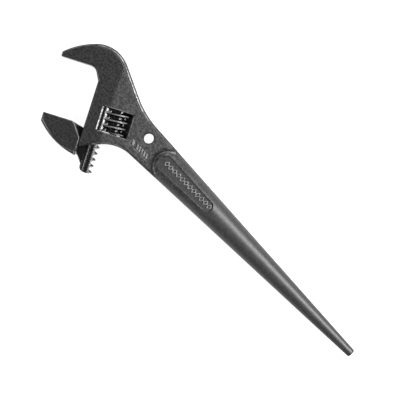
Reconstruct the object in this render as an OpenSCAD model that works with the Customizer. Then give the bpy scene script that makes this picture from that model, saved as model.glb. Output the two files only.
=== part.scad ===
// Adjustable spud wrench: a forged body with a round tapered handle, a sliding jaw on a toothed
// rail, the worm-shaped adjusting knurl that drives it, the knurl's pin and its friction spring.
//
// Frame: the origin is the centre of the handle's tail end. +X runs along the handle's axis to
// the jaws, +Z is square to the flat sides, and Z = 0 is the middle of the thickness.
// The head has its own axes, u towards the jaw tips and v along the jaw's travel as it opens,
// turned by head_angle about the knurl's centre.

/* [Handle] */
// Radius of the handle at its tail end
tail_r = 2.7; // [2:0.1:4]
// Growth of the handle's radius for each millimetre of length
taper = 0.049; // [0.04:0.001:0.055]
// Rounding at the rim of the tail end
tail_rounding = 1.1; // [0.5:0.1:2]
// Where the round handle ends and its nose runs out on the flat head
nose_x = 161.6; // [155:0.2:165]
// Radius of the nose where it meets the head, seen from above
nose_r = 10.3; // [9:0.1:11]
// Radius of the nose at its crown
nose_top_r = 7.8; // [5:0.1:9]

/* [Handle panel] */
// Distance of the sunk panel's round end from the tail
panel_start = 124; // [110:1:130]
// Length of the sunk panel
panel_l = 45; // [30:1:46]
// Half width of the panel at its round end
panel_small_r = 3.3; // [2.5:0.1:3.6]
// Half width of the panel near the head
panel_big_r = 4.8; // [4:0.1:5.5]
// Depth of the panel's floor below the handle's crown, at its round end
panel_depth = 1.0; // [0.8:0.05:1.4]

/* [Head] */
// Thickness of the head and of both jaws
head_t = 13; // [12:0.5:15]
// Angle between the jaw faces and the handle
head_angle = 28; // [20:0.5:32]
// Distance of the knurl's centre from the tail
knurl_x = 203.8; // [200:0.2:208]
// Offset of the knurl's centre from the handle's axis
knurl_y = 4.2; // [3:0.1:5]
// Distance of the throat from the knurl's axis
throat_u = 17.9; // [17:0.1:19]
// Depth of the jaws, from throat to tips
jaw_depth = 26.4; // [24:0.2:28]
// Distance of the fixed jaw's face from the knurl's centre
fixed_face_v = 29.1; // [28:0.1:30]
// Opening between the jaw faces as modelled, which is the widest
jaw_opening = 36; // [30:0.5:36]
// Length of the ground throat below the knurl's centre
throat_low_v = 21.3; // [20:0.1:22]

/* [Tether hole] */
// Distance of the hole from the tail
hole_x = 182.6; // [180:0.2:184]
// Offset of the hole from the handle's axis
hole_y = -3.6; // [-4:0.1:-3]
// Radius of the hole
hole_r = 3.175; // [2.5:0.025:3.5]
// Chamfer at each end of the hole
hole_chamfer = 0.5; // [0.2:0.1:0.8]

/* [Knurl and rack] */
// Pitch of the knurl's thread and of the rack's teeth
pitch = 3.97; // [3.97:0.01:4]
// Outer radius of the knurl
knurl_r = 7.2; // [7:0.05:7.3]
// Radius at the bottom of the knurl's thread
knurl_root_r = 4.65; // [4.5:0.05:4.65]
// Length of the knurl
knurl_l = 14.9; // [14.5:0.1:15]
// Width of the thread's crest, along the axis
crest_w = 1; // [0.8:0.05:1.2]
// Angle of the thread's flanks
flank_angle = 20; // [15:0.5:22]
// Size of the window across the knurl
window_w = 19.1; // [18.5:0.1:19.5]
// Size of the window along the knurl
window_l = 15.4; // [15.2:0.1:15.8]
// Radius of the rail that carries the teeth
rail_r = 4.4; // [4.2:0.05:4.5]
// Distance of the rail's axis from the knurl's axis
rail_u = 9.2; // [9.2:0.05:9.4]
// Thickness of the web between the rail and the jaw
web_t = 5; // [4:0.25:6]
// Side play of the rail and the web in the body
slide_play = 0.15; // [0.1:0.05:0.3]

/* [Pin and spring] */
// Radius of the pin where it carries the knurl
pin_r = 1.75; // [1.5:0.05:1.75]
// Radius of the pin's threaded neck
pin_neck_r = 2; // [1.8:0.05:2]
// Radius of the pin's slotted head
pin_head_r = 2.6; // [2.4:0.05:2.8]
// Running clearance of the knurl on the pin
pin_play = 0.08; // [0.02:0.01:0.1]
// Wire diameter of the friction spring
wire_d = 0.6; // [0.4:0.05:0.7]
// Number of turns of the spring
spring_turns = 4.5; // [3:0.5:6]

/* [Hidden] */
$fn = 64;
eps = 0.01;
over = 1;

black = [0.16, 0.16, 0.17];
steel = [0.45, 0.45, 0.47];

// Head: the jaws
jaw_tip_u = throat_u + jaw_depth;
moving_face_v = jaw_opening - fixed_face_v;
relief_start_v = -21.1;
relief_end_u = 22.2;
relief_r = 6;
nose_rear_u = throat_u + 0.3;
// The slant on the moving jaw's back clears the relief when the jaws are shut
slant_foot_v = moving_face_v + 8.9;
slant_head = [23.6, moving_face_v + 1.4];
face_start_u = relief_end_u + 3.8;

// Rail and rack
rail_top_v = -8;
rail_end_v = 35.2;
rail_end_r = 4;
rack_phase_v = 1.95;
rack_first = -3;
rack_last = 8;
// The knurl rests against the lower flanks of the rack's gaps
thread_shift = 0.2;
lead_angle = atan(pitch / (2 * PI * (knurl_r + knurl_root_r) / 2));
tip_clearance = 0.15;
backlash = 0.3;
rack_tip_u = rail_u - rail_r;
rack_root_u = knurl_r + tip_clearance;
thread_depth = knurl_r - knurl_root_r;
crest_half = crest_w / 2;
flank_run = thread_depth * tan(flank_angle);
// Half width of a rack tooth at its root, which fills the gap between two crests less the backlash
tooth_root_half = pitch / 2 - crest_half - backlash + (rack_root_u - knurl_r) * tan(flank_angle);
tooth_tip_half = tooth_root_half - (rack_root_u - rack_tip_u) * tan(flank_angle);

// Knurl, pushed against the upper end of the window by its spring
knurl_gap = 0.05;
knurl_top_v = -window_l / 2 + knurl_gap;
knurl_low_v = knurl_top_v + knurl_l;
pocket_r = 3.1;
pocket_depth = 4;
pin_head_seat_v = 11.3;
pin_head_l = 1.9;
pin_tip_v = -12.3;
pin_hole_end_v = -12.8;
neck_hole_r = pin_neck_r + 0.05;
head_hole_r = pin_head_r + 0.15;

spring_r = 2.5;
spring_low_v = window_l / 2;
spring_top_v = knurl_low_v - pocket_depth + knurl_gap;

function unit(p) = p / norm(p);
function arc_points(c, r, a0, a1, n) = [for (i = [0:n]) c + r * [cos(a0 + (a1 - a0) * i / n), sin(a0 + (a1 - a0) * i / n)]];
function signed_turn(a) = a > 180 ? a - 360 : a < -180 ? a + 360 : a;

// The arc of radius r that rounds the corner at b, between the lines from a and to c
function corner(a, b, c, r) =
    let (
        to_a = unit(a - b),
        to_c = unit(c - b),
        half = acos(to_a * to_c) / 2,
        run = r / tan(half),
        centre = b + unit(to_a + to_c) * r / sin(half),
        first = b + to_a * run - centre,
        last = b + to_c * run - centre,
        a0 = atan2(first.y, first.x),
        turn = signed_turn(atan2(last.y, last.x) - a0)
    )
    r == 0 ? [b] : arc_points(centre, r, a0, a0 + turn, max(3, ceil(abs(turn) / 6)));

// A closed outline through corners given as [point, radius]
function rounded(corners) =
    let (n = len(corners))
    [
        for (i = [0:n - 1])
            each corner(corners[(i + n - 1) % n][0], corners[i][0], corners[(i + 1) % n][0], corners[i][1])
    ];

// A point of the head, from u and v to the part's own frame
function head_point(u, v) = [
    knurl_x + u * cos(head_angle) - v * sin(head_angle),
    knurl_y + u * sin(head_angle) + v * cos(head_angle)
];

function handle_r(x) = tail_r + taper * x;

// Puts its children in the head's axes, with x along u and y along v
module in_head() {
    translate([knurl_x, knurl_y, 0]) rotate([0, 0, head_angle]) children();
}

// Puts its children on a line along v at the given u, with z along v
module along_v(u, v) {
    in_head() translate([u, v, 0]) rotate([-90, 0, 0]) children();
}

/* Body */

// The flat head and the fixed jaw, seen from above
module head_outline() {
    proud = 0.05;
    // The outline starts inside the handle, and reaches its full width where the head's flats begin
    start_x = nose_x - 4;
    start_y = nose_r / 2;
    full_x = nose_x + 2.5;
    polygon(rounded([
        [[start_x, start_y], 0],
        [[start_x, -start_y], 0],
        [[full_x, -start_y], 0],
        [[full_x, -handle_r(full_x) - proud], 0],
        [[194.7, -handle_r(194.7) - proud], 57],
        [head_point(12.4, -46.9), 20],
        [head_point(35.9, -39.7), 48],
        [head_point(jaw_tip_u, -32.1), 1],
        [head_point(jaw_tip_u, -fixed_face_v), 0.4],
        [head_point(relief_end_u, -fixed_face_v), relief_r],
        [head_point(throat_u, relief_start_v), 1.5],
        [head_point(throat_u, throat_low_v), 1],
        [[195.1, handle_r(195.1) + proud], 24],
        [[full_x, handle_r(full_x) + proud], 0],
        [[full_x, start_y], 0]
    ]));
}

// The round taper, with the tail's rim rounded
module handle_cone() {
    length = nose_x + nose_r;
    rotate([90, 0, 90]) rotate_extrude($fn = 96)
        polygon(concat(
            [[0, 0]],
            arc_points([tail_r - tail_rounding, tail_rounding], tail_rounding, -90, 0, 8),
            [[handle_r(length), length], [0, length]]
        ));
}

// Everything that the handle may fill, so that its nose runs down to the head
module handle_limit() {
    size = 2 * handle_r(nose_x) + 2 * over;
    flat = head_t / 2;
    crown = handle_r(nose_x);
    // Growth of the nose's radius for each millimetre down from the crown
    slope = (nose_r - nose_top_r) / (crown - flat);
    translate([-over, -size / 2, -size / 2]) cube([nose_x + over, size, size]);
    translate([nose_x, 0, 0]) for (side = [0, 1]) mirror([0, 0, side])
        translate([0, 0, -eps])
            cylinder(h = crown + over, r1 = nose_r + slope * flat, r2 = nose_top_r - slope * over);
}

module handle() {
    intersection() {
        handle_cone();
        handle_limit();
    }
}

// The sunk panel on both sides of the handle, whose floor follows the taper
module panel_pockets() {
    floor_z = handle_r(panel_start) - panel_depth;
    for (side = [0, 1]) mirror([0, 0, side])
        translate([panel_start, 0, floor_z]) rotate([0, -atan(0.8 * taper), 0])
            linear_extrude(4)
                polygon(concat(
                    arc_points([panel_small_r, 0], panel_small_r, 90, 270, 16),
                    arc_points([panel_l - panel_big_r, 0], panel_big_r, -90, 90, 16)
                ));
}

// The slot for the jaw's web, up to where the web's top edge stops with the jaws shut
module web_slot() {
    play = 0.4;
    shut = -jaw_opening - play;
    in_head() linear_extrude(web_t + 2 * slide_play, center = true) polygon([
        [rail_u, moving_face_v + 3.2 + shut],
        [13, moving_face_v + 3.2 + shut],
        [throat_u, moving_face_v + 1.9 + shut],
        [23.9, 0.1 - fixed_face_v],
        [throat_u + 20, 0.1 - fixed_face_v],
        [throat_u + 20, throat_low_v + 10],
        [rail_u, throat_low_v + 10]
    ]);
}

module rail_bore() {
    along_v(rail_u, -60) cylinder(h = 120, r = rail_r + slide_play);
}

// The window for the knurl, with chamfers along its two long sides. The side away from the rail
// leans in under the knurl, as it was forged, so the window is narrower at the back.
module window() {
    chamfer = 0.8;
    half_t = head_t / 2;
    half_w = window_w / 2;
    // The leaning side bends twice to stay clear of the knurl, and leaves the back at 45 degrees
    bend_u = knurl_r + 0.9;
    bend_z = -0.8;
    low_bend_u = bend_u - 1.5;
    low_bend_z = bend_z - 3.4;
    back_u = low_bend_u - (half_t + low_bend_z);
    section = [
        [half_w, chamfer - half_t],
        [half_w, half_t - chamfer],
        [half_w + chamfer + over, half_t + over],
        [-half_w - chamfer - over, half_t + over],
        [-half_w, half_t - chamfer],
        [-bend_u, bend_z],
        [-low_bend_u, low_bend_z],
        [-back_u + over, -half_t - over],
        [half_w + chamfer + over, -half_t - over]
    ];
    in_head() rotate([90, 0, 0]) linear_extrude(window_l, center = true) polygon(section);
}

module pin_hole() {
    along_v(0, pin_hole_end_v) cylinder(h = window_l, r = pin_r + pin_play);
    along_v(0, 0) cylinder(h = pin_head_seat_v + over, r = neck_hole_r);
    along_v(0, pin_head_seat_v) cylinder(h = 10, r = head_hole_r);
}

module tether_hole() {
    translate([hole_x, hole_y, 0]) {
        cylinder(h = head_t + 2, r = hole_r, center = true);
        for (side = [0, 1]) mirror([0, 0, side])
            translate([0, 0, head_t / 2 - hole_chamfer])
                cylinder(h = hole_chamfer + over, r1 = hole_r, r2 = hole_r + hole_chamfer + over);
    }
}

module wrench_body() {
    color(black) difference() {
        union() {
            handle();
            linear_extrude(head_t, center = true) head_outline();
        }
        panel_pockets();
        tether_hole();
        window();
        rail_bore();
        web_slot();
        pin_hole();
    }
}

/* Movable jaw */

// The thick part of the jaw, in the head's axes
module jaw_outline() {
    polygon(rounded([
        [[jaw_tip_u, moving_face_v], 0.4],
        [[jaw_tip_u, 12.5], 1],
        [[33.2, 23.4], 45],
        [[nose_rear_u, 26.8], 0.5],
        [[nose_rear_u, slant_foot_v], 3],
        [slant_head, 1],
        [[face_start_u, moving_face_v], 1]
    ]));
}

// The thin web that runs in the body's slot
module web_outline() {
    polygon(rounded([
        [[face_start_u, moving_face_v], 0],
        [[30, moving_face_v + 2], 0],
        [[30, 22], 0],
        [[19, 24.6], 2],
        [[16.6, 26.3], 6],
        [[13.1, 30.8], 4],
        [[12.4, 33], 0],
        [[rail_u, 33], 0],
        [[rail_u, moving_face_v + 3.2], 0],
        [[13, moving_face_v + 3.2], 0],
        [[throat_u, moving_face_v + 1.9], 0]
    ]));
}

// What is cut away between two teeth of the rack
module rack_gap() {
    gap_root_half = pitch / 2 - tooth_root_half;
    gap_tip_half = pitch / 2 - tooth_tip_half;
    beyond = 0.5;
    run_out = beyond * tan(flank_angle);
    rotate([lead_angle, 0, 0]) linear_extrude(4 * rail_r, center = true) polygon([
        [rack_root_u, -gap_root_half],
        [rack_root_u, gap_root_half],
        [rack_tip_u - beyond, gap_tip_half + run_out],
        [rack_tip_u - beyond, -gap_tip_half - run_out]
    ]);
}

module rail() {
    chamfer = 1;
    length = rail_end_v - rail_top_v;
    difference() {
        intersection() {
            along_v(rail_u, rail_top_v) {
                translate([0, 0, chamfer]) cylinder(h = length - chamfer, r = rail_r);
                cylinder(h = chamfer, r1 = rail_r - chamfer, r2 = rail_r);
            }
            // Rounds the lower end, on the side away from the knurl
            in_head() linear_extrude(4 * rail_r, center = true) polygon(rounded([
                [[rack_tip_u - over, rail_top_v - over], 0],
                [[rail_u + rail_r + eps, rail_top_v - over], 0],
                [[rail_u + rail_r + eps, rail_end_v], rail_end_r],
                [[rack_tip_u - over, rail_end_v], 1.6]
            ]));
        }
        in_head() for (i = [rack_first:rack_last])
            translate([0, rack_phase_v + (i + 0.5) * pitch, 0]) rack_gap();
    }
}

module movable_jaw() {
    color(black) union() {
        in_head() linear_extrude(head_t, center = true) jaw_outline();
        in_head() linear_extrude(web_t, center = true) web_outline();
        rail();
    }
}

/* Adjusting knurl */

// Radius of the thread's cross-section at an angle from the middle of its crest
function thread_r(angle) =
    let (along = abs(signed_turn(angle)) * pitch / 360)
    along <= crest_half ? knurl_r
        : along >= crest_half + flank_run ? knurl_root_r
        : knurl_r - (along - crest_half) / tan(flank_angle);

// One cross-section of a single-start thread, with points where its flanks begin and end
function thread_section() =
    let (
        crest_angle = crest_half * 360 / pitch,
        flank_angle_span = flank_run * 360 / pitch,
        root_angle = crest_angle + flank_angle_span,
        side = concat(
            [for (i = [0:4]) crest_angle * i / 5],
            [for (i = [0:4]) crest_angle + flank_angle_span * i / 5],
            [for (i = [0:4]) root_angle + (180 - root_angle) * i / 5]
        ),
        angles = concat(side, [180], [for (i = [len(side) - 1:-1:1]) -side[i]])
    )
    [for (a = angles) thread_r(a) * [cos(a), sin(a)]];

module adjusting_knurl() {
    steps_per_turn = 24;
    // A crest faces the rail midway between two teeth
    crest_v = rack_phase_v + pitch / 2 + thread_shift;
    color(black) difference() {
        along_v(0, knurl_top_v) rotate([0, 0, 360 * (knurl_top_v - crest_v) / pitch])
            linear_extrude(
                height = knurl_l,
                twist = -360 * knurl_l / pitch,
                slices = round(steps_per_turn * knurl_l / pitch),
                segments = 30
            )
                polygon(thread_section());
        along_v(0, knurl_top_v - over) cylinder(h = knurl_l + 2 * over, r = pin_r + pin_play);
        along_v(0, knurl_low_v - pocket_depth) cylinder(h = pocket_depth + over, r = pocket_r);
    }
}

/* Pin */

module knurl_pin() {
    slot_w = 0.8;
    slot_depth = 0.9;
    tip_chamfer = 0.5;
    color(steel) difference() {
        union() {
            along_v(0, pin_tip_v + tip_chamfer) cylinder(h = pin_head_seat_v - pin_tip_v - tip_chamfer, r = pin_r);
            along_v(0, pin_tip_v) cylinder(h = tip_chamfer, r1 = pin_r - tip_chamfer, r2 = pin_r);
            along_v(0, window_l / 2 + 0.2) cylinder(h = pin_head_seat_v - window_l / 2, r = pin_neck_r);
            along_v(0, pin_head_seat_v) cylinder(h = pin_head_l, r = pin_head_r);
        }
        in_head() translate([0, pin_head_seat_v + pin_head_l - slot_depth / 2 + over / 2, 0])
            cube([slot_w, slot_depth + over, 3 * pin_head_r], center = true);
    }
}

/* Friction spring */

// A closed tube along a helix, as one skin
module helix_tube(radius, wire_r, length, turns, sides = 8, steps = 20) {
    rings = round(turns * steps);
    points = [
        for (i = [0:rings], j = [0:sides - 1])
            let (
                a = 360 * turns * i / rings,
                b = 360 * j / sides,
                r = radius + wire_r * cos(b)
            )
            [r * cos(a), r * sin(a), length * i / rings + wire_r * sin(b)]
    ];
    skin = [
        for (i = [0:rings - 1], j = [0:sides - 1])
            let (k = (j + 1) % sides)
            [i * sides + j, (i + 1) * sides + j, (i + 1) * sides + k, i * sides + k]
    ];
    ends = [
        [for (j = [0:sides - 1]) j],
        [for (j = [sides - 1:-1:0]) rings * sides + j]
    ];
    polyhedron(points, concat(skin, ends), convexity = 10);
}

module knurl_spring() {
    length = spring_low_v - spring_top_v - wire_d;
    color(steel) along_v(0, spring_top_v + wire_d / 2)
        helix_tube(spring_r, wire_d / 2, length, spring_turns);
}

wrench_body();
movable_jaw();
adjusting_knurl();
knurl_pin();
knurl_spring();
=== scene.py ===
import math

import bpy
import numpy as np
from mathutils import Matrix, Vector


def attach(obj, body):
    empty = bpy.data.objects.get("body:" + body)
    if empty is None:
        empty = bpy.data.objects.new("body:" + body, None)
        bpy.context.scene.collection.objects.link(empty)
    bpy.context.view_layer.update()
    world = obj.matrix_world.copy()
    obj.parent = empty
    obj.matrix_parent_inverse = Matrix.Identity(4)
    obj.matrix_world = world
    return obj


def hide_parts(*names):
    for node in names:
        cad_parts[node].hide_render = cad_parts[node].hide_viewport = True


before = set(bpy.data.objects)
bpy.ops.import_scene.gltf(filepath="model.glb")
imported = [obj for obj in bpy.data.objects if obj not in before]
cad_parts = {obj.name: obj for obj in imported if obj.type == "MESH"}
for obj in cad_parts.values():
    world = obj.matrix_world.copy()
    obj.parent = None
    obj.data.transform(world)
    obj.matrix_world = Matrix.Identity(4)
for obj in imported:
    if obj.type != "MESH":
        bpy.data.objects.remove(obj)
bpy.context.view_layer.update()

# Lengths are in millimetres while a piece is being shaped, and in metres in its mesh.
MM = 0.001

# ---------------------------------------------------------------- the wrench's own dimensions

TAIL_R, TAPER = 2.7, 0.049
TAIL_ROUNDING = 1.1
NOSE_X, NOSE_R, NOSE_TOP_R = 161.6, 10.3, 7.8
PANEL_START, PANEL_L = 124.0, 45.0
PANEL_SMALL_R, PANEL_BIG_R, PANEL_DEPTH = 3.3, 4.8, 1.0
HALF_T = 6.5
HEAD_ANGLE = math.radians(28)
KNURL_X, KNURL_Y = 203.8, 4.2
THROAT_U, JAW_DEPTH = 17.9, 26.4
FIXED_FACE_V, JAW_OPENING, THROAT_LOW_V = 29.1, 36.0, 21.3
HOLE_X, HOLE_Y, HOLE_R, HOLE_CHAMFER = 182.6, -3.6, 3.175, 0.5
PITCH, KNURL_R, KNURL_ROOT_R, KNURL_L = 3.97, 7.2, 4.65, 14.9
CREST_W, FLANK = 1.0, math.radians(20)
WINDOW_W, WINDOW_L, WINDOW_CHAMFER = 19.1, 15.4, 0.8
RAIL_R, RAIL_U, WEB_T, SLIDE_PLAY = 4.4, 9.2, 5.0, 0.15
PIN_R, PIN_NECK_R, PIN_HEAD_R, PIN_PLAY = 1.75, 2.0, 2.6, 0.08
WIRE_D, SPRING_TURNS, SPRING_R = 0.6, 4.5, 2.5

JAW_TIP_U = THROAT_U + JAW_DEPTH
MOVING_FACE_V = JAW_OPENING - FIXED_FACE_V
RELIEF_START_V, RELIEF_END_U, RELIEF_R = -21.1, 22.2, 6.0
FACE_START_U = RELIEF_END_U + 3.8
NOSE_REAR_U = THROAT_U + 0.3
RAIL_TOP_V, RAIL_END_V, RAIL_END_R = -8.0, 35.2, 4.0
RACK_PHASE_V, RACK_FIRST, RACK_LAST, THREAD_SHIFT = 1.95, -3, 8, 0.2
LEAD_ANGLE = math.atan(PITCH / (math.pi * (KNURL_R + KNURL_ROOT_R)))
RACK_TIP_U = RAIL_U - RAIL_R
RACK_ROOT_U = KNURL_R + 0.15
BACKLASH = 0.3
TOOTH_ROOT_HALF = PITCH / 2 - CREST_W / 2 - BACKLASH + (RACK_ROOT_U - KNURL_R) * math.tan(FLANK)
KNURL_TOP_V = -WINDOW_L / 2 + 0.05
KNURL_LOW_V = KNURL_TOP_V + KNURL_L
POCKET_R, POCKET_DEPTH = 3.1, 4.0
PIN_HEAD_SEAT_V, PIN_HEAD_L = 11.3, 1.9
PIN_TIP_V, PIN_HOLE_END_V = -12.3, -12.8
PIN_NECK_V, PIN_NECK_HALF_L = 9.8, 1.9
PIN_SLOT_W, PIN_SLOT_DEPTH = 0.8, 0.9

# The head's edges: the waist on either side, and the tip of the fixed jaw
WAIST_X, WAIST_R = 194.7, 57
LOW_WAIST_X, LOW_WAIST_R = 195.1, 24
BACK_START_X, TIP_BACK_V = 178, 32.1
# The jaws' sides and the band between them are ground a little below the forged head
GROUND_U, GROUND_STEP = 5.9, 0.22
EDGE_R, OUTER_EDGE_R, JAW_BACK_R = 0.35, 1.8, 1.7
# A fine groove runs inside the head's outer edge, from the waist to the fixed jaw
RIM_IN, RIM_R = 1.9, 0.34
# Plain raised marks in the panel and on the stamped pad
MARK_H = 0.6
LOZENGES, LOZENGE_FIRST, LOZENGE_LAST = 12, PANEL_START + 2.6, PANEL_START + 39.4
LOZENGE_HALF_W, LOZENGE_HALF_H, LOZENGE_Y, LOZENGE_LEAN = 1.75, 2.0, -0.7, 0.25
PAD_X, PAD_Y, PAD_L, PAD_W = 181.2, 5.0, 7.4, 2.1
PAD_BARS = (-5.6, -3.6, -1.6, 0.4, 2.4)
PAD_BLOCK, PAD_BLOCK_HALF, PAD_BAR_HALF, PAD_BAR_L, PAD_LEAN = 6.0, 0.8, 0.55, 1.5, 0.5


# ---------------------------------------------------------------- shaping by distance fields
# A solid is a function that is negative inside and grows by about 1 for each millimetre out.

def smax(a, b, r):
    """Intersection whose edge is rounded with radius r."""
    return np.minimum(np.maximum(a, b), -r) + np.hypot(np.maximum(a + r, 0), np.maximum(b + r, 0))


def smin(a, b, r):
    """Union whose inside corner has a fillet of radius r."""
    return -smax(-a, -b, r)


def smoothstep(lo, hi, t):
    t = np.clip((t - lo) / (hi - lo), 0, 1)
    return t * t * (3 - 2 * t)


def unit(p):
    return p / np.linalg.norm(p)


def corner(a, b, c, r):
    """The arc of radius r that rounds the corner at b."""
    if r == 0:
        return [b]
    to_a, to_c = unit(a - b), unit(c - b)
    half = math.acos(float(np.clip(to_a @ to_c, -1, 1))) / 2
    run = r / math.tan(half)
    centre = b + unit(to_a + to_c) * r / math.sin(half)
    first, last = b + to_a * run - centre, b + to_c * run - centre
    a0 = math.atan2(first[1], first[0])
    turn = math.atan2(last[1], last[0]) - a0
    turn = (turn + math.pi) % (2 * math.pi) - math.pi
    n = max(4, math.ceil(abs(turn) / math.radians(3)))
    return [centre + r * np.array([math.cos(a0 + turn * i / n), math.sin(a0 + turn * i / n)])
            for i in range(n + 1)]


def rounded(corners):
    """A closed outline through corners given as ((x, y), radius)."""
    p = [np.array(c[0], float) for c in corners]
    n = len(p)
    out = []
    for i in range(n):
        out += corner(p[i - 1], p[i], p[(i + 1) % n], corners[i][1])
    return np.array(out)


def chain_distance(points, x, y, closed=False):
    """Unsigned distance from (x, y) to a chain of points."""
    best = np.full(np.broadcast(x, y).shape, 1e9)
    ends = zip(points, np.roll(points, -1, axis=0)) if closed else zip(points[:-1], points[1:])
    for a, b in ends:
        e = b - a
        if e @ e < 1e-12:
            continue
        px, py = x - a[0], y - a[1]
        t = np.clip((px * e[0] + py * e[1]) / (e @ e), 0, 1)
        np.minimum(best, (px - t * e[0]) ** 2 + (py - t * e[1]) ** 2, out=best)
    return np.sqrt(best)


def polygon_distance(points, x, y):
    """Signed distance from (x, y) to a closed outline, negative inside."""
    inside = np.zeros(np.broadcast(x, y).shape, bool)
    for a, b in zip(points, np.roll(points, -1, axis=0)):
        if a[1] == b[1]:
            continue
        crosses = (a[1] > y) != (b[1] > y)
        inside ^= crosses & (x < (b[0] - a[0]) * (y - a[1]) / (b[1] - a[1]) + a[0])
    d = chain_distance(points, x, y, closed=True)
    return np.where(inside, -d, d)


class Sheet:
    """A field over the plane, tabulated once on a fine grid and read by interpolation."""

    def __init__(self, function, x_range, y_range, step):
        self.x0, self.y0, self.step = x_range[0], y_range[0], step
        xs = np.arange(x_range[0], x_range[1] + step, step)
        ys = np.arange(y_range[0], y_range[1] + step, step)
        self.table = function(xs[:, None] + 0 * ys[None, :], ys[None, :] + 0 * xs[:, None])

    def __call__(self, x, y):
        i = (x - self.x0) / self.step
        j = (y - self.y0) / self.step
        i0 = np.clip(i.astype(int), 0, self.table.shape[0] - 2)
        j0 = np.clip(j.astype(int), 0, self.table.shape[1] - 2)
        fi, fj = i - i0, j - j0
        t = self.table
        return ((t[i0, j0] * (1 - fi) + t[i0 + 1, j0] * fi) * (1 - fj)
                + (t[i0, j0 + 1] * (1 - fi) + t[i0 + 1, j0 + 1] * fi) * fj)


def surface_net(f, axes):
    """The zero surface of samples f on a rectilinear grid: points and quads."""
    s = f < 0
    nx, ny, nz = f.shape
    total = np.zeros((nx - 1, ny - 1, nz - 1), np.int8)
    offsets = [(i, j, k) for i in (0, 1) for j in (0, 1) for k in (0, 1)]
    for i, j, k in offsets:
        total += s[i:nx - 1 + i, j:ny - 1 + j, k:nz - 1 + k]
    cells = np.argwhere((total > 0) & (total < 8))
    index = np.full(total.shape, -1, np.int64)
    index[tuple(cells.T)] = np.arange(len(cells))
    place = np.zeros((len(cells), 3))
    count = np.zeros(len(cells))
    for a in offsets:
        for axis in range(3):
            if a[axis]:
                continue
            b = tuple(1 if n == axis else a[n] for n in range(3))
            ia, ib = cells + a, cells + b
            fa, fb = f[tuple(ia.T)], f[tuple(ib.T)]
            hit = (fa < 0) != (fb < 0)
            t = np.where(hit, fa / np.where(hit, fa - fb, 1), 0)
            for n in range(3):
                pa, pb = axes[n][ia[:, n]], axes[n][ib[:, n]]
                place[:, n] += np.where(hit, pa + t * (pb - pa), 0)
            count += hit
    place /= count[:, None]
    quads = []
    for axis in range(3):
        o1, o2 = (axis + 1) % 3, (axis + 2) % 3
        low = [slice(None)] * 3
        high = [slice(None)] * 3
        low[axis], high[axis] = slice(0, -1), slice(1, None)
        flips = s[tuple(low)] != s[tuple(high)]
        e = np.argwhere(flips)
        e = e[(e[:, o1] > 0) & (e[:, o2] > 0) & (e[:, o1] < f.shape[o1] - 1) & (e[:, o2] < f.shape[o2] - 1)]
        step1, step2 = np.zeros(3, int), np.zeros(3, int)
        step1[o1], step2[o2] = 1, 1
        ring = [e - step1 - step2, e - step2, e, e - step1]
        q = np.stack([index[tuple(c.T)] for c in ring], axis=1)
        outward = s[tuple(e.T)]
        q[~outward] = q[~outward][:, ::-1]
        quads.append(q)
    return place, np.concatenate(quads)


def gradient(solid, p, h=0.02):
    g = np.empty_like(p)
    for n in range(3):
        step = np.zeros(3)
        step[n] = h
        hi, lo = p + step, p - step
        g[:, n] = (solid(*hi.T) - solid(*lo.T)) / (2 * h)
    return g


def spaced(*stretches):
    """Grid positions from (start, end, step) stretches that follow each other."""
    out = [np.array([stretches[0][0]])]
    for a, b, step in stretches:
        n = max(1, round((b - a) / step))
        out.append(a + (b - a) * np.arange(1, n + 1) / n)
    return np.concatenate(out)


def solid_mesh(name, solid, axes, marks=None, reach=0.3):
    """A smooth mesh of a solid, with its exact normals and painted masks."""
    grid = np.meshgrid(*axes, indexing="ij")
    f = solid(*grid)
    del grid
    p, quads = surface_net(f, axes)
    for _ in range(3):
        g = gradient(solid, p)
        step = (solid(*p.T) / np.maximum((g * g).sum(1), 0.25))[:, None] * g
        length = np.linalg.norm(step, axis=1, keepdims=True)
        p = p - step * np.minimum(1, reach / np.maximum(length, 1e-9))
    g = gradient(solid, p, 0.05)
    normals = g / np.maximum(np.linalg.norm(g, axis=1, keepdims=True), 1e-9)
    obj = mesh_object(name, p * MM, quads, normals)
    for key, values in (marks(p) if marks else {}).items():
        layer = obj.data.attributes.new(key, "FLOAT", "POINT")
        layer.data.foreach_set("value", values.astype(np.float32))
    return obj


def mesh_object(name, points, faces, normals=None):
    mesh = bpy.data.meshes.new(name)
    mesh.from_pydata(points.tolist() if hasattr(points, "tolist") else points, [],
                     faces.tolist() if hasattr(faces, "tolist") else faces)
    mesh.update()
    mesh.polygons.foreach_set("use_smooth", np.ones(len(mesh.polygons), bool))
    if normals is not None:
        mesh.normals_split_custom_set_from_vertices(normals.tolist())
    obj = bpy.data.objects.new(name, mesh)
    bpy.context.scene.collection.objects.link(obj)
    return obj


# ---------------------------------------------------------------- the head's own axes

COS, SIN = math.cos(HEAD_ANGLE), math.sin(HEAD_ANGLE)


def to_head(x, y):
    dx, dy = x - KNURL_X, y - KNURL_Y
    return dx * COS + dy * SIN, -dx * SIN + dy * COS


def head_point(u, v):
    return (KNURL_X + u * COS - v * SIN, KNURL_Y + u * SIN + v * COS)


def handle_r(x):
    return TAIL_R + TAPER * x


# ---------------------------------------------------------------- body

BACK_CORNERS = [(head_point(12.4, -46.9), 20), (head_point(35.9, -39.7), 48)]


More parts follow.
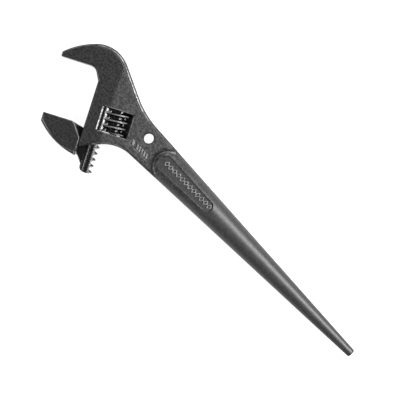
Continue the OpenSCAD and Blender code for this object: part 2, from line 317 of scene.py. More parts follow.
def head_outline():
    start_x, full_x = NOSE_X - 4, NOSE_X + 2.5
    start_y = NOSE_R / 2
    return rounded([
        ((start_x, start_y), 0),
        ((start_x, -start_y), 0),
        ((full_x, -start_y), 0),
        ((full_x, -handle_r(full_x) - 0.02), 0),
        ((WAIST_X, -handle_r(WAIST_X) - 0.02), WAIST_R),
        *BACK_CORNERS,
        (head_point(JAW_TIP_U, -TIP_BACK_V), 1),
        (head_point(JAW_TIP_U, -FIXED_FACE_V), 0.4),
        (head_point(RELIEF_END_U, -FIXED_FACE_V), RELIEF_R),
        (head_point(THROAT_U, RELIEF_START_V), 1.5),
        (head_point(THROAT_U, THROAT_LOW_V), 1),
        ((LOW_WAIST_X, handle_r(LOW_WAIST_X) + 0.02), LOW_WAIST_R),
        ((full_x, handle_r(full_x) + 0.02), 0),
        ((full_x, start_y), 0),
    ])


HEAD = head_outline()
GRASP = np.array([head_point(JAW_TIP_U, -FIXED_FACE_V), head_point(RELIEF_END_U, -FIXED_FACE_V),
                  head_point(THROAT_U, RELIEF_START_V), head_point(THROAT_U, THROAT_LOW_V)])
HEAD_X_RANGE, Y_RANGE = (140, 262), (-34, 38)
head_2d = Sheet(lambda x, y: polygon_distance(HEAD, x, y), HEAD_X_RANGE, Y_RANGE, 0.15)
# 0 along the edges that grasp the nut, 1 along the outer edges
outer_2d = Sheet(lambda x, y: smoothstep(-1.5, 1.5, chain_distance(GRASP, x, y)
                                         - np.abs(polygon_distance(HEAD, x, y))),
                 HEAD_X_RANGE, Y_RANGE, 0.3)
SHUT = -JAW_OPENING - 0.4
SLOT = np.array([
    (RAIL_U, MOVING_FACE_V + 3.2 + SHUT), (13, MOVING_FACE_V + 3.2 + SHUT),
    (THROAT_U, MOVING_FACE_V + 1.9 + SHUT), (23.9, 0.1 - FIXED_FACE_V),
    (THROAT_U + 20, 0.1 - FIXED_FACE_V), (THROAT_U + 20, THROAT_LOW_V + 10),
    (RAIL_U, THROAT_LOW_V + 10)])
slot_2d = Sheet(lambda x, y: polygon_distance(SLOT, x, y), (-80, 60), (-60, 60), 0.2)
BACK_EDGE = rounded([((BACK_START_X, -handle_r(BACK_START_X)), 0),
                     ((WAIST_X, -handle_r(WAIST_X)), WAIST_R), *BACK_CORNERS,
                     (head_point(JAW_TIP_U, -TIP_BACK_V), 0)])[:-1]
back_2d = Sheet(lambda x, y: chain_distance(BACK_EDGE, x, y), (170, 262), (-36, 0), 0.15)

# The window's side away from the rail leans in under the knurl
LEAN_Z = np.array([-HALF_T, -4.2, -0.8, HALF_T - 0.8, HALF_T, HALF_T + 2])
LEAN_U = np.array([KNURL_R - 2.9, KNURL_R - 0.6, KNURL_R + 0.9,
                   WINDOW_W / 2, WINDOW_W / 2 + 0.8, WINDOW_W / 2 + 2.8])


def forged_share(u, v):
    """1 on the forged part of the head, 0 on the ground band with the jaws."""
    return smoothstep(0.35, -0.35, u - GROUND_U)


def panel_floor(x):
    return handle_r(PANEL_START) - PANEL_DEPTH + 0.8 * TAPER * (x - PANEL_START)


def panel_pill(x, y):
    """Distance to the tapered pill of the sunk panel."""
    x0, x1 = PANEL_START + PANEL_SMALL_R, PANEL_START + PANEL_L - PANEL_BIG_R
    t = np.clip((x - x0) / (x1 - x0), 0, 1)
    return np.hypot(x - (x0 + t * (x1 - x0)), y) - (PANEL_SMALL_R + t * (PANEL_BIG_R - PANEL_SMALL_R))


def panel_marks(x, y):
    """Distance to the strokes of a row of plain slanted lozenges."""
    step = (LOZENGE_LAST - LOZENGE_FIRST) / (LOZENGES - 1)
    i = np.clip(np.round((x - LOZENGE_FIRST) / step), 0, LOZENGES - 1)
    dy = y - LOZENGE_Y
    dx = x - (LOZENGE_FIRST + i * step) - LOZENGE_LEAN * dy
    shape = ((np.abs(dx) / LOZENGE_HALF_W + np.abs(dy) / LOZENGE_HALF_H - 1)
             * LOZENGE_HALF_W * LOZENGE_HALF_H / math.hypot(LOZENGE_HALF_W, LOZENGE_HALF_H))
    return np.abs(shape + 0.3) - 0.33


def pad_place(x, y):
    return x - PAD_X, y - PAD_Y


def pad_bars(px, py):
    """Distance to the stamped pad's plain bars."""
    slanted = px + PAD_LEAN * py
    bars = np.abs(slanted - PAD_BLOCK) - PAD_BLOCK_HALF
    for centre in PAD_BARS:
        bars = np.minimum(bars, np.abs(slanted - centre) - PAD_BAR_HALF)
    return np.maximum(bars, np.abs(py) - PAD_BAR_L)


def handle_solid(x, y, z):
    """The round handle with its sunk panel, and the nose that runs out on the head."""
    az = np.abs(z)
    cone = (np.hypot(y, z) - handle_r(x)) * math.cos(math.atan(TAPER))
    handle = smax(cone, -x, TAIL_ROUNDING)
    crown = handle_r(NOSE_X)
    slope = (NOSE_R - NOSE_TOP_R) / (crown - HALF_T)
    from_nose = np.hypot(np.maximum(x - NOSE_X, 0), y)
    nose = (from_nose - (NOSE_TOP_R + slope * (crown - az))) / math.hypot(1, slope)
    handle = smax(handle, nose, 0.35)
    floor = panel_floor(x)
    pill = panel_pill(x, y)
    pocket = smax(pill, floor - az, 0.25)
    handle = smax(handle, -pocket, 0.2)
    # A sharp groove along the pocket's -Y side
    groove = np.maximum(np.hypot(pill + 0.15, az - floor) - 0.5, y + 1.8)
    handle = smax(handle, -groove, 0.1)
    marks = smax(panel_marks(x, y), az - floor - MARK_H, 0.15)
    return smin(handle, smax(marks, floor - 0.6 - az, 0.1), 0.1)


def head_slab(x, y, u, v, az):
    """The flat head and the fixed jaw, without any openings."""
    forged = forged_share(u, v) * smoothstep(NOSE_X + 2, NOSE_X + 14, x) + (x < NOSE_X + 2)
    half_t = HALF_T - GROUND_STEP + GROUND_STEP * forged
    edge_r = EDGE_R + outer_2d(x, y) * (OUTER_EDGE_R - EDGE_R)
    slab = smax(head_2d(x, y), az - half_t, edge_r)
    rim = np.hypot(back_2d(x, y) - RIM_IN, az - half_t)
    share = smoothstep(190, 200, x) * smoothstep(32, 22, u)
    return smax(slab, RIM_R * share - rim, 0.06)


def with_tether_hole(solid, x, y, az):
    """The hole, with a chamfer at each end."""
    hole = np.hypot(x - HOLE_X, y - HOLE_Y)
    solid = smax(solid, HOLE_R - hole, 0.12)
    return smax(solid, (HOLE_R + HOLE_CHAMFER - hole - (HALF_T - az)) / math.sqrt(2), 0.12)


def with_stamped_pad(solid, x, y, az):
    px, py = pad_place(x, y)
    pad = smax(np.abs(px) - PAD_L, np.abs(py) - PAD_W, 0.6)
    solid = smax(solid, -smax(pad, HALF_T - 0.4 - az, 0.2), 0.15)
    return smin(solid, smax(pad_bars(px, py), az - HALF_T - 0.05, 0.12), 0.08)


def knurl_window(u, v, z):
    rail_side = u - WINDOW_W / 2 - np.maximum(np.abs(z) - HALF_T + WINDOW_CHAMFER, 0)
    far_side = -u - np.interp(z, LEAN_Z, LEAN_U)
    return smax(smax(rail_side, far_side * 0.85, 0.5), np.abs(v) - WINDOW_L / 2, 0.7)


def rail_way(u, v, z):
    """The bore for the rail and the slot for the web."""
    bore = np.hypot(u - RAIL_U, z) - RAIL_R - SLIDE_PLAY
    slot = np.maximum(slot_2d(u, v), np.abs(z) - WEB_T / 2 - SLIDE_PLAY)
    return smin(bore, slot, 0.25)


def pin_way(u, v, z):
    """The hole for the pin, its threaded neck and its head."""
    axis = np.hypot(u, z)
    pin = np.maximum(axis - PIN_R - PIN_PLAY, np.abs(v) + PIN_HOLE_END_V)
    neck = np.maximum(axis - PIN_NECK_R - 0.05, -v)
    seat = np.maximum(axis - PIN_HEAD_R - 0.15, PIN_HEAD_SEAT_V - v)
    return np.minimum(np.minimum(pin, neck), np.where(v > 0, seat, 99.0))


def body_solid(x, y, z):
    az = np.abs(z)
    u, v = to_head(x, y)
    fillet = 2.2 * smoothstep(HALF_T - 1.5, HALF_T + 0.5, az) + 0.05
    solid = smin(handle_solid(x, y, z), head_slab(x, y, u, v, az), fillet)
    solid = with_tether_hole(solid, x, y, az)
    solid = with_stamped_pad(solid, x, y, az)
    solid = smax(solid, -knurl_window(u, v, z), 0.3)
    solid = smax(solid, -rail_way(u, v, z), 0.3)
    return smax(solid, -pin_way(u, v, z), 0.2)


# ---------------------------------------------------------------- painted masks

MASK_REACH = 0.7


def edge_masks(solid, p):
    """Wear on convex edges, and painted shade in hollows, from how far the solid lies along the normal."""
    g = gradient(solid, p, 0.05)
    n = g / np.maximum(np.linalg.norm(g, axis=1, keepdims=True), 1e-9)
    inside = solid(*(p - n * MASK_REACH).T)
    outside = solid(*(p + n * MASK_REACH).T)
    wear_and_highlight = np.clip((inside + MASK_REACH) / MASK_REACH, 0, 1)
    hollow_shade = np.clip((MASK_REACH - outside) / MASK_REACH, 0, 1)
    return wear_and_highlight, hollow_shade


def ridge_line(distance, centre, half):
    """1 on a line at a distance from an edge, fading out to both sides."""
    return np.exp(-((distance - centre) / half) ** 2)


def body_wear_and_highlights(wear_and_highlight, x, y, u, v, az):
    """Adds painted highlight lines beside the outer edges, the window, the panel and the nose."""
    back = back_2d(x, y)
    far = smoothstep(20, 26, u)
    # A painted highlight line just inside the back edge, where the rounded rim catches the light.
    near_highlight = ridge_line(back, 1.15, 0.5) * smoothstep(186, 194, x)
    highlight_line = near_highlight * (1 - far) + 0.6 * far * ridge_line(back, 0.8, 0.6)
    # A painted highlight line along the lower edge near the waist.
    low = ridge_line(-head_2d(x, y), 0.75, 0.35) * (v > 0) * (u < GROUND_U + 4) * smoothstep(183, 190, x)
    on_top = smoothstep(2.2, 1.2, HALF_T - az)
    wear_and_highlight = np.maximum(wear_and_highlight, 0.62 * np.maximum(highlight_line, 0.75 * low) * on_top)
    # Painted highlights on the window's chamfers, brighter on the rail side, which faces the side light.
    window_edge_highlight = np.where(u > 0, 0.95, 0.55) * ridge_line(np.abs(u), WINDOW_W / 2 + 0.4, 0.55)
    wear_and_highlight = np.maximum(wear_and_highlight, window_edge_highlight * (np.abs(v) < WINDOW_L / 2 - 0.4) * (az > HALF_T - 1.0))
    # The panel's rim keeps a painted highlight only beside its round end; in and near the panel the edge
    # rubbing is weakened.
    rim_highlight = ridge_line(x, PANEL_START + 7, 3.5) * (y > 2)
    kept = 0.15 + 0.6 * rim_highlight + smoothstep(0.8, 1.6, panel_pill(x, y))
    wear_and_highlight = wear_and_highlight * np.where((az > HALF_T) & (x < NOSE_X + 8), kept, 1)
    # A painted highlight arc on the nose.
    nose_highlight = ridge_line(np.hypot(np.maximum(x - NOSE_X, 0), y), NOSE_R - 1.2, 0.5)
    return np.maximum(wear_and_highlight, 0.5 * (x > NOSE_X) * nose_highlight * (az > HALF_T + 0.3))


def body_painted_shade(hollow_shade, x, y, az):
    """Adds painted shade: the sunk panel, a painted shadow line along the panel's -Y wall, a ring at the
    hole's edge and the nose's foot.
    """
    pill = panel_pill(x, y)
    hollow_shade = np.maximum(hollow_shade, ridge_line(pill, -0.1, 0.4) * smoothstep(-1.5, -2.5, y) * (az > 6))
    hollow_shade = np.maximum(hollow_shade, 0.62 * smoothstep(0, -0.5, pill) * (az > HALF_T))
    from_hole = np.hypot(x - HOLE_X, y - HOLE_Y)
    hollow_shade = np.maximum(hollow_shade, ridge_line(from_hole, HOLE_R + 0.3, 0.45))
    from_nose = np.hypot(np.maximum(x - NOSE_X, 0), y)
    return np.maximum(hollow_shade, (x > NOSE_X) * ridge_line(from_nose, NOSE_R + 0.1, 0.4))


def body_marks(p):
    x, y, z = p.T
    u, v = to_head(x, y)
    az = np.abs(z)
    wear_and_highlight, hollow_shade = edge_masks(body_solid, p)
    in_panel = (panel_pill(x, y) < 0) & (az > panel_floor(x) + 0.6 * MARK_H)
    on_pad = (pad_bars(*pad_place(x, y)) < 0.1) & (az > HALF_T - 0.15)
    return {
        "ground": (1 - forged_share(u, v)) * smoothstep(185, 195, x),
        "wear_and_highlight": body_wear_and_highlights(wear_and_highlight, x, y, u, v, az),
        "hollow_shade": body_painted_shade(hollow_shade, x, y, az),
        # Painted shade on the faces sunk well inside the head: the window's walls, the bore and the slot.
        "inner_shade": smoothstep(0.9, 1.5, HALF_T - az) * smoothstep(-1.0, -2.5, head_2d(x, y)),
        "raised": 1.0 * ((panel_marks(x, y) < 0.1) & in_panel | on_pad),
    }


BODY_AXES = (
    spaced((-1, 4, 0.3), (4, 118, 0.6), (118, 172, 0.3), (172, 260, 0.28)),
    spaced((-31, -12, 0.28), (-12, 12, 0.28), (12, 33.6, 0.28)),
    spaced((-11.7, 11.7, 0.29)),
)

# ---------------------------------------------------------------- movable jaw, in the head's axes

TIP_CORNER, BELLY = (JAW_TIP_U, 12.5), (33.2, 23.4)
HEEL = (NOSE_REAR_U, 26.8)
SLANT_START, SLANT_END = (NOSE_REAR_U, MOVING_FACE_V + 8.9), (23.6, MOVING_FACE_V + 1.4)
JAW = rounded([
    ((JAW_TIP_U, MOVING_FACE_V), 0.4), (TIP_CORNER, 1), (BELLY, 45), (HEEL, 0.5),
    (SLANT_START, 3), (SLANT_END, 1), ((FACE_START_U, MOVING_FACE_V), 1)])
JAW_BACK = np.array([TIP_CORNER, BELLY, HEEL])
JAW_REAR = np.array([HEEL, SLANT_START, SLANT_END])
WEB = rounded([
    ((FACE_START_U, MOVING_FACE_V), 0), ((30, MOVING_FACE_V + 2), 0), ((30, 22), 0),
    ((19, 24.6), 2), ((16.6, 26.3), 6), ((13.1, 30.8), 4), ((12.4, 33), 0),
    ((RAIL_U, 33), 0), ((RAIL_U, MOVING_FACE_V + 3.2), 0), ((13, MOVING_FACE_V + 3.2), 0),
    ((THROAT_U, MOVING_FACE_V + 1.9), 0)])
RAIL = rounded([
    ((RACK_TIP_U - 1, RAIL_TOP_V - 1), 0), ((RAIL_U + RAIL_R + 0.01, RAIL_TOP_V - 1), 0),
    ((RAIL_U + RAIL_R + 0.01, RAIL_END_V), RAIL_END_R), ((RACK_TIP_U - 1, RAIL_END_V), 1.6)])
SHUT_GAP = 0.03
U_RANGE, V_RANGE = (0, 50), (-14, 42)
jaw_2d = Sheet(lambda x, y: polygon_distance(JAW, x, y), U_RANGE, V_RANGE, 0.12)
jaw_back_2d = Sheet(lambda x, y: smoothstep(4.7, 1.7, chain_distance(JAW_BACK, x, y)),
                    U_RANGE, V_RANGE, 0.3)
web_2d = Sheet(lambda x, y: polygon_distance(WEB, x, y), U_RANGE, V_RANGE, 0.12)
rail_2d = Sheet(lambda x, y: polygon_distance(RAIL, x, y), U_RANGE, V_RANGE, 0.12)


def rack_gaps(u, v, z):
    """Distance to the gaps between the rack's teeth."""
    along = v * math.cos(LEAD_ANGLE) + z * math.sin(LEAD_ANGLE)
    first = (RACK_PHASE_V + (RACK_FIRST + 0.5) * PITCH) * math.cos(LEAD_ANGLE)
    step = PITCH * math.cos(LEAD_ANGLE)
    i = np.clip(np.round((along - first) / step), 0, RACK_LAST - RACK_FIRST)
    off = np.abs(along - first - i * step)
    half = PITCH / 2 - TOOTH_ROOT_HALF + (RACK_ROOT_U - u) * math.tan(FLANK)
    return smax((off - half) * math.cos(FLANK), u - RACK_ROOT_U, 0.2)


def jaw_solid(u, v, z):
    az = np.abs(z)
    back = jaw_back_2d(u, v)
    # The face stops just short of the fixed jaw's when the jaws are shut
    outline = np.maximum(jaw_2d(u, v), MOVING_FACE_V + SHUT_GAP - v)
    jaw = smax(outline, az - HALF_T + GROUND_STEP, EDGE_R + back * (JAW_BACK_R - EDGE_R))
    web = np.maximum(web_2d(u, v), az - WEB_T / 2)
    bar = np.hypot(u - RAIL_U, z) - RAIL_R
    bar = smax(smax(bar, RAIL_TOP_V - v, 1.0), rail_2d(u, v), 0.3)
    bar = smax(bar, -rack_gaps(u, v, z), 0.15)
    # The fillet between web and bar stays off the teeth
    fillet = 0.1 + 0.25 * smoothstep(RAIL_U, RAIL_U + 3, u) * smoothstep(22.0, 25.0, v)
    solid = smin(web, bar, fillet)
    return smin(jaw, solid, 0.1 + 0.4 * smoothstep(23.0, 25.0, v))


def jaw_marks(p):
    u, v, z = p.T
    az = np.abs(z)
    wear_and_highlight, hollow_shade = edge_masks(jaw_solid, p)
    inset = -jaw_2d(u, v)
    back, rear = chain_distance(JAW_BACK, u, v), chain_distance(JAW_REAR, u, v)
    # Painted highlight lines inside the jaw's back and rear edges.
    highlight_line = np.maximum(ridge_line(back, 1.3, 0.25), ridge_line(rear, 0.5, 0.22))
    wear_and_highlight = np.maximum(wear_and_highlight, 0.5 * highlight_line * (inset > 0) * (az > HALF_T - 1.2))
    # A painted reflection line runs along the rail's round side.
    on_rail = (np.hypot(u - RAIL_U, az) > RAIL_R - 0.3) * (az > 3)
    wear_and_highlight = np.maximum(wear_and_highlight, 0.6 * ridge_line(u, RAIL_U + 1.8, 0.28) * on_rail * (inset < 0))
    # Painted glints on the sides of the rack's teeth, near the knurl.
    tooth_glints = ridge_line(u, RACK_ROOT_U - 0.3, 0.4) * (v < WINDOW_L / 2) * (az > 2.5)
    # Painted shade on the web and rail, which lie below the jaw's faces.
    inner_shade = smoothstep(0.8, 1.6, HALF_T - az) * smoothstep(0.2, -0.3, inset)
    return {"ground": np.ones(len(p)), "wear_and_highlight": np.maximum(wear_and_highlight, tooth_glints), "hollow_shade": hollow_shade, "inner_shade": inner_shade}


JAW_AXES = spaced((3.5, 46, 0.25)), spaced((-10, 37, 0.25)), spaced((-7.5, 7.5, 0.25))


def head_to_part(obj):
    """Turns a mesh made in the head's axes, in place, into the wrench's frame."""
    mesh = obj.data
    n = len(mesh.vertices)
    co = np.empty(n * 3)
    mesh.vertices.foreach_get("co", co)
    co = co.reshape(-1, 3) / MM
    x, y = head_point(co[:, 0], co[:, 1])
    out = np.stack([x, y, co[:, 2]], axis=1) * MM
    mesh.vertices.foreach_set("co", out.ravel())
    mesh.update()


# ---------------------------------------------------------------- knurl, pin and spring

def along_v(points, v0=0.0, u0=0.0):
    """Puts points made about a z axis on a line along v, in metres in the wrench's frame."""
    u = u0 + points[:, 0]
    v = v0 + points[:, 2]
    x, y = head_point(u, v)
    return np.stack([x, y, -points[:, 1]], axis=1) * MM


def knurl_mesh():
    """The worm: one ring of points after another, out along the thread and back through the bore."""
    around, grooves, groove_depth, rings, chamfer = 432, 54, 0.07, 150, 0.45
    theta = 2 * math.pi * np.arange(around) / around
    crest_at = RACK_PHASE_V + PITCH / 2 + THREAD_SHIFT
    rows, radii, masks = [], [], []

    def ring(h, r, mask=0.0):
        rows.append(np.full(around, h))
        radii.append(r + np.zeros(around))
        masks.append(mask + np.zeros(around))

    groove = np.abs((theta * grooves / (2 * math.pi)) % 1 - 0.5) * 2
    for h in np.linspace(0, KNURL_L, rings):
        phase = KNURL_TOP_V + h - crest_at - PITCH * theta / (2 * math.pi)
        off = np.abs((phase + PITCH / 2) % PITCH - PITCH / 2)
        r = KNURL_R - np.maximum(off - CREST_W / 2, 0) / math.tan(FLANK)
        r = np.maximum(r, KNURL_ROOT_R)
        # The crest tops carry a mark that paints them paler: partly wear, partly painted highlight.
        top = smoothstep(0.45, 0.3, off)
        r = r - groove_depth * top * smoothstep(0.45, 1.0, groove)
        edge = min(h, KNURL_L - h)
        r = np.minimum(r, KNURL_R - chamfer + edge)
        ring(h, r, top)
    for h, r in ((KNURL_L, POCKET_R), (KNURL_L - POCKET_DEPTH, POCKET_R),
                 (KNURL_L - POCKET_DEPTH, PIN_R + PIN_PLAY), (0, PIN_R + PIN_PLAY)):
        ring(h, r)
    h, r = np.array(rows), np.array(radii)
    points = np.stack([r * np.cos(theta), r * np.sin(theta), h], axis=-1).reshape(-1, 3)
    n = len(rows)
    i, j = np.meshgrid(np.arange(n), np.arange(around), indexing="ij")
    i2, j2 = (i + 1) % n, (j + 1) % around
    quads = np.stack([i * around + j, i * around + j2, i2 * around + j2, i2 * around + j], axis=-1)
    obj = mesh_object("adjusting_knurl_shaped", along_v(points, KNURL_TOP_V), quads.reshape(-1, 4))
    layer = obj.data.attributes.new("wear_and_highlight", "FLOAT", "POINT")
    layer.data.foreach_set("value", np.array(masks).ravel().astype(np.float32))
    return obj


def pin_solid(u, v, z):
    axis = np.hypot(u, z)
    shank_v, shank_half_l = (PIN_TIP_V + PIN_HEAD_SEAT_V) / 2, (PIN_HEAD_SEAT_V - PIN_TIP_V) / 2
    shank = smax(axis - PIN_R, np.abs(v - shank_v) - shank_half_l, 0.4)
    neck = np.maximum(axis - PIN_NECK_R, np.abs(v - PIN_NECK_V) - PIN_NECK_HALF_L)
    mid = PIN_HEAD_SEAT_V + PIN_HEAD_L / 2
    head = smax(axis - PIN_HEAD_R, np.abs(v - mid) - PIN_HEAD_L / 2, 0.3)
    solid = np.minimum(np.minimum(shank, neck), head)
    slot = np.maximum(np.abs(u) - PIN_SLOT_W / 2, PIN_HEAD_SEAT_V + PIN_HEAD_L - PIN_SLOT_DEPTH - v)
    return smax(solid, -slot, 0.1)


PIN_AXES = spaced((-3.2, 3.2, 0.14)), spaced((-13, 14, 0.18)), spaced((-3.2, 3.2, 0.14))


def spring_mesh():
    """The friction spring, pressed between the knurl's pocket and the window's lower end."""
    low, top = WINDOW_L / 2, KNURL_LOW_V - POCKET_DEPTH + 0.05
    length = low - top - WIRE_D
    sides, steps = 14, 40
    rings = round(SPRING_TURNS * steps)
    a = 2 * math.pi * SPRING_TURNS * np.arange(rings + 1) / rings
    b = 2 * math.pi * np.arange(sides) / sides
    r = SPRING_R + WIRE_D / 2 * np.cos(b)[None, :]
    h = length * (np.arange(rings + 1) / rings)[:, None] + WIRE_D / 2 * np.sin(b)[None, :]
    points = np.stack([r * np.cos(a)[:, None], r * np.sin(a)[:, None], h], axis=-1).reshape(-1, 3)
    faces = []
    for i in range(rings):
        for j in range(sides):
            k = (j + 1) % sides
            faces.append([i * sides + j, (i + 1) * sides + j, (i + 1) * sides + k, i * sides + k])
    faces.append(list(range(sides)))
    faces.append([rings * sides + j for j in reversed(range(sides))])
    return mesh_object("knurl_spring_shaped", along_v(points, top + WIRE_D / 2), faces)


# ---------------------------------------------------------------- materials

class Nodes:
    """Short names for the nodes of one material."""

    def __init__(self, name):
        self.material = bpy.data.materials.new(name)
        self.material.use_nodes = True
        self.tree = self.material.node_tree
        self.bsdf = self.tree.nodes["Principled BSDF"]
        self.place = self.add("ShaderNodeTexCoord").outputs["Object"]

    def add(self, kind, **values):
        node = self.tree.nodes.new(kind)
        for key, value in values.items():
            setattr(node, key, value)
        return node

    def link(self, a, b):
        self.tree.links.new(a, b)

    def noise(self, scale, detail=4.0, rough=0.55, stretch=None):
        node = self.add("ShaderNodeTexNoise")
        node.inputs["Scale"].default_value = scale
        node.inputs["Detail"].default_value = detail
        node.inputs["Roughness"].default_value = rough
        if stretch:
            mapping = self.add("ShaderNodeMapping")
            mapping.inputs["Rotation"].default_value = stretch[0]
            mapping.inputs["Scale"].default_value = stretch[1]
            self.link(self.place, mapping.inputs["Vector"])
            self.link(mapping.outputs["Vector"], node.inputs["Vector"])
        else:
            self.link(self.place, node.inputs["Vector"])
        return node.outputs["Fac"]

    def attribute(self, name):
        return self.add("ShaderNodeAttribute", attribute_name=name).outputs["Fac"]

    def math(self, operation, a, b=0.0):
        node = self.add("ShaderNodeMath", operation=operation)
        for socket, value in zip(node.inputs, (a, b)):
            if isinstance(value, (int, float)):
                socket.default_value = value
            else:
                self.link(value, socket)
        return node.outputs[0]

    def ramp(self, value, lo, hi, out_lo=0.0, out_hi=1.0):
        node = self.add("ShaderNodeMapRange")
        node.inputs["From Min"].default_value = lo
        node.inputs["From Max"].default_value = hi
        node.inputs["To Min"].default_value = out_lo
        node.inputs["To Max"].default_value = out_hi
        self.link(value, node.inputs["Value"])
        return node.outputs["Result"]

    def mix(self, share, a, b):
        node = self.add("ShaderNodeMix", data_type="RGBA")
        self.link(share, node.inputs["Factor"])
        ins = [s for s in node.inputs if s.type == "RGBA"]
        for socket, value in zip(ins, (a, b)):
            if isinstance(value, tuple):
                socket.default_value = (*value, 1)
            else:
                self.link(value, socket)
        return [s for s in node.outputs if s.type == "RGBA"][0]

    def blend(self, share, a, b):
        """A number between a and b."""
        node = self.add("ShaderNodeMix", data_type="FLOAT")
        self.link(share, node.inputs[0])
        for socket, value in zip((node.inputs[2], node.inputs[3]), (a, b)):
            if isinstance(value, (int, float)):
                socket.default_value = value
            else:
                self.link(value, socket)
        return node.outputs[0]

    def bump(self, height, strength, distance):
        node = self.add("ShaderNodeBump")
        node.inputs["Strength"].default_value = strength
        node.inputs["Distance"].default_value = distance
        self.link(height, node.inputs["Height"])
        return node.outputs["Normal"]


def shades(tone, *factors):
    return [tuple(f * c for c in tone) for f in factors]


# Tones for painted shade and for rubbed edges with painted highlights.
PAINTED_SHADE_TONE, WORN_AND_HIGHLIGHT_TONE = (0.0035, 0.0028, 0.0025), (0.36, 0.36, 0.365)


def forged_black(name, dark, light, inner_rough):
    """Black industrial finish: rough where forged, satin where ground, rubbed pale along the edges, with
    painted highlight lines and painted shade in hollows and sunk faces.
    """
    n = Nodes(name)
    ground, wear_and_highlight, hollow_shade = n.attribute("ground"), n.attribute("wear_and_highlight"), n.attribute("hollow_shade")
    inner_shade, raised = n.attribute("inner_shade"), n.attribute("raised")
    speckle = n.noise(950, 4, 0.75)
    grain = n.noise(560, 5, 0.65)
    cloud = n.noise(60, 4, 0.55)
    lines = n.noise(900, 3, 0.6, ((0, 0, -HEAD_ANGLE), (0.25, 1, 1)))
    pale, deep, low = shades(light, 3.0, 0.03, 0.4)
    mottle = n.math("ADD", n.math("MULTIPLY", speckle, 0.45), n.math("MULTIPLY", grain, 0.55))
    rough_tone = n.mix(n.ramp(mottle, 0.46, 0.58), deep, pale)
    rough_tone = n.mix(n.ramp(cloud, 0.35, 0.65, 0, 0.3), rough_tone, low)
    # The handle is smoother and more even than the head
    along = n.add("ShaderNodeSeparateXYZ")
    n.link(n.place, along.inputs["Vector"])
    on_handle = n.ramp(along.outputs["X"], 0.165, 0.12)
    rough_tone = n.mix(n.math("MULTIPLY", on_handle, 0.72), rough_tone, shades(light, 1.9)[0])
    brushed = n.math("ADD", n.math("MULTIPLY", lines, 0.22), n.math("MULTIPLY", speckle, 0.78))
    smooth_tone = n.mix(n.ramp(brushed, 0.42, 0.60), *shades(dark, 0.1, 4.5))
    tone = n.mix(ground, rough_tone, smooth_tone)
    # Painted shade in hollows and on sunk faces darkens the tone and roughens it.
    painted_shade = n.math("MAXIMUM", n.ramp(hollow_shade, 0.1, 0.8, 0, 0.8), n.math("MULTIPLY", inner_shade, 0.9))
    tone = n.mix(painted_shade, tone, PAINTED_SHADE_TONE)
    # Edge rubbing, painted highlight lines and the tops of raised marks turn pale and partly metallic.
    worn_and_highlit = n.math("MULTIPLY", n.ramp(wear_and_highlight, 0.2, 0.62), n.ramp(grain, 0.33, 0.6))
    worn_and_highlit = n.math("MAXIMUM", worn_and_highlit, n.math("MULTIPLY", raised, n.ramp(speckle, 0.38, 0.58, 0.15, 0.68)))
    tone = n.mix(n.math("MULTIPLY", worn_and_highlit, 0.85), tone, WORN_AND_HIGHLIGHT_TONE)
    n.link(tone, n.bsdf.inputs["Base Color"])
    head_rough, handle_rough = n.ramp(grain, 0.3, 0.7, 0.46, 0.60), n.ramp(speckle, 0.3, 0.7, 0.41, 0.51)
    forged_rough = n.blend(on_handle, head_rough, handle_rough)
    rough = n.blend(ground, forged_rough, n.ramp(speckle, 0.3, 0.7, 0.28, 0.44))
    rough = n.blend(painted_shade, rough, 0.8)
    rough = n.blend(inner_shade, rough, inner_rough)
    rough = n.blend(worn_and_highlit, rough, 0.34)
    n.link(rough, n.bsdf.inputs["Roughness"])
    n.link(n.math("MULTIPLY", worn_and_highlit, 0.55), n.bsdf.inputs["Metallic"])
    n.bsdf.inputs["Specular IOR Level"].default_value = 0.52
    fine = n.math("MULTIPLY", speckle, 0.35)
    forged_height = n.blend(on_handle, n.math("ADD", n.math("MULTIPLY", speckle, 0.8), grain), fine)
    height = n.blend(ground, forged_height, fine)
    n.link(n.bump(height, 0.9, 0.0003), n.bsdf.inputs["Normal"])
    return n.material


def plain_steel(name, tone, roughness, metallic, wear_and_highlight_tone=None):
    n = Nodes(name)
    fine = n.noise(1800, 3, 0.6)
    cloud = n.noise(220, 4, 0.6)
    colour = n.mix(n.ramp(cloud, 0.3, 0.7), tuple(0.75 * c for c in tone), tuple(1.25 * c for c in tone))
    if wear_and_highlight_tone:
        # Marked places take the paler tone, partly wear and partly painted highlight.
        wear_and_highlight = n.attribute("wear_and_highlight")
        colour = n.mix(n.math("MULTIPLY", wear_and_highlight, n.ramp(cloud, 0.3, 0.6, 0.35, 0.9)), colour, wear_and_highlight_tone)
    n.link(colour, n.bsdf.inputs["Base Color"])
    n.link(n.ramp(cloud, 0.3, 0.7, roughness * 0.8, roughness * 1.2), n.bsdf.inputs["Roughness"])
    n.bsdf.inputs["Metallic"].default_value = metallic
    n.link(n.bump(fine, 0.25, 0.00008), n.bsdf.inputs["Normal"])
    return n.material


# ---------------------------------------------------------------- camera

VIEW_UP = Vector((0.7145, -0.6997, 0))
VIEW_RIGHT = Vector((-0.6997, -0.7145, 0))
LOOK_AT = Vector((0.1334, 0.00037, 0))
FRAME_WIDTH = 0.24704
UP = Vector((0, 0, 1))
camera_data = bpy.data.cameras.new("camera")
camera_data.lens = 200
camera_data.sensor_width = 36
camera = bpy.data.objects.new("camera", camera_data)
bpy.context.scene.collection.objects.link(camera)
DISTANCE = FRAME_WIDTH * camera_data.lens / camera_data.sensor_width
camera.location = LOOK_AT + UP * DISTANCE
camera.rotation_euler = Matrix((VIEW_RIGHT, VIEW_UP, UP)).transposed().to_euler()
camera_data.clip_start, camera_data.clip_end = 0.05, 20
bpy.context.scene.camera = camera

# ---------------------------------------------------------------- pieces

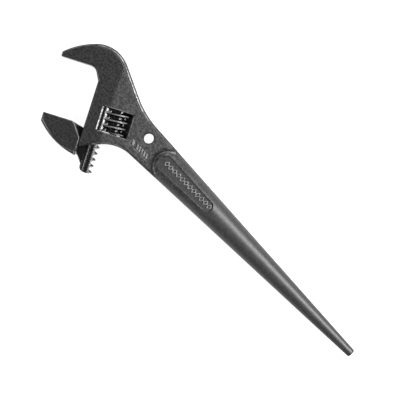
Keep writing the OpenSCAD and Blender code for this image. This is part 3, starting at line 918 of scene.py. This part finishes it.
FORGED_TONE = (0.014, 0.0138, 0.0143)
body_black = forged_black("black_forging", (0.005, 0.005, 0.0053), FORGED_TONE, 0.9)
jaw_black = forged_black("black_jaw", (0.004, 0.004, 0.0043), FORGED_TONE, 0.2)
# The knurl's crest tops are painted paler, partly as wear and partly as painted highlight.
knurl_black = plain_steel("black_knurl", (0.004, 0.004, 0.0042), 0.13, 0.0, (0.15, 0.15, 0.155))
pin_metal = plain_steel("pin_metal", (0.12, 0.12, 0.125), 0.35, 0.8)
spring_metal = plain_steel("spring_metal", (0.35, 0.35, 0.36), 0.3, 1.0)


def finish_piece(obj, body, node, material):
    obj.data.materials.append(material)
    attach(obj, body)
    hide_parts(node)


body = solid_mesh("wrench_body_shaped", body_solid, BODY_AXES, body_marks)
finish_piece(body, "body", "wrench_body", body_black)

jaw = solid_mesh("movable_jaw_shaped", jaw_solid, JAW_AXES, jaw_marks)
head_to_part(jaw)
finish_piece(jaw, "jaw", "movable_jaw", jaw_black)

knurl = knurl_mesh()
finish_piece(knurl, "knurl", "adjusting_knurl", knurl_black)

pin = solid_mesh("knurl_pin_shaped", pin_solid, PIN_AXES)
head_to_part(pin)
finish_piece(pin, "body", "knurl_pin", pin_metal)

spring = spring_mesh()
finish_piece(spring, "body", "knurl_spring", spring_metal)

# ---------------------------------------------------------------- floor and light

FLOOR_Z, FLOOR_HALF = -0.0112, 4


def pale_floor():
    """An even floor that glows enough to stay white where the wrench shades it."""
    n = Nodes("pale_floor")
    n.link(n.mix(n.noise(8, 3), (0.19, 0.19, 0.19), (0.21, 0.21, 0.21)), n.bsdf.inputs["Base Color"])
    n.bsdf.inputs["Roughness"].default_value = 0.9
    n.bsdf.inputs["Emission Color"].default_value = (1, 1, 1, 1)
    n.bsdf.inputs["Emission Strength"].default_value = 0.96
    return n.material


FLOOR_CORNERS = [(x * FLOOR_HALF, y * FLOOR_HALF, FLOOR_Z) for x, y in ((-1, -1), (1, -1), (1, 1), (-1, 1))]
floor = mesh_object("floor", FLOOR_CORNERS, [[0, 1, 2, 3]])
floor.data.materials.append(pale_floor())


def soft_box(name, direction, distance, size, power):
    data = bpy.data.lights.new(name, "AREA")
    data.shape = "RECTANGLE"
    data.size, data.size_y = size
    data.energy = power
    lamp = bpy.data.objects.new(name, data)
    bpy.context.scene.collection.objects.link(lamp)
    direction = direction.normalized()
    lamp.location = LOOK_AT + direction * distance
    lamp.rotation_euler = direction.to_track_quat("Z", "Y").to_euler()
    return lamp


soft_box("key_light", Vector((-0.30, -0.58, 0.82)), 0.9, (0.5, 0.2), 14.5)
soft_box("right_light", VIEW_RIGHT * 0.85 + UP * 0.62 - VIEW_UP * 0.1, 0.9, (0.14, 0.5), 6)
soft_box("left_light", -VIEW_RIGHT * 0.85 + UP * 0.75, 0.9, (0.08, 0.5), 4)

world = bpy.data.worlds.new("studio")
bpy.context.scene.world = world
world.use_nodes = True
world.node_tree.nodes["Background"].inputs["Color"].default_value = (1, 1, 1, 1)
world.node_tree.nodes["Background"].inputs["Strength"].default_value = 0.09
bpy.context.scene.view_settings.view_transform = "Standard"
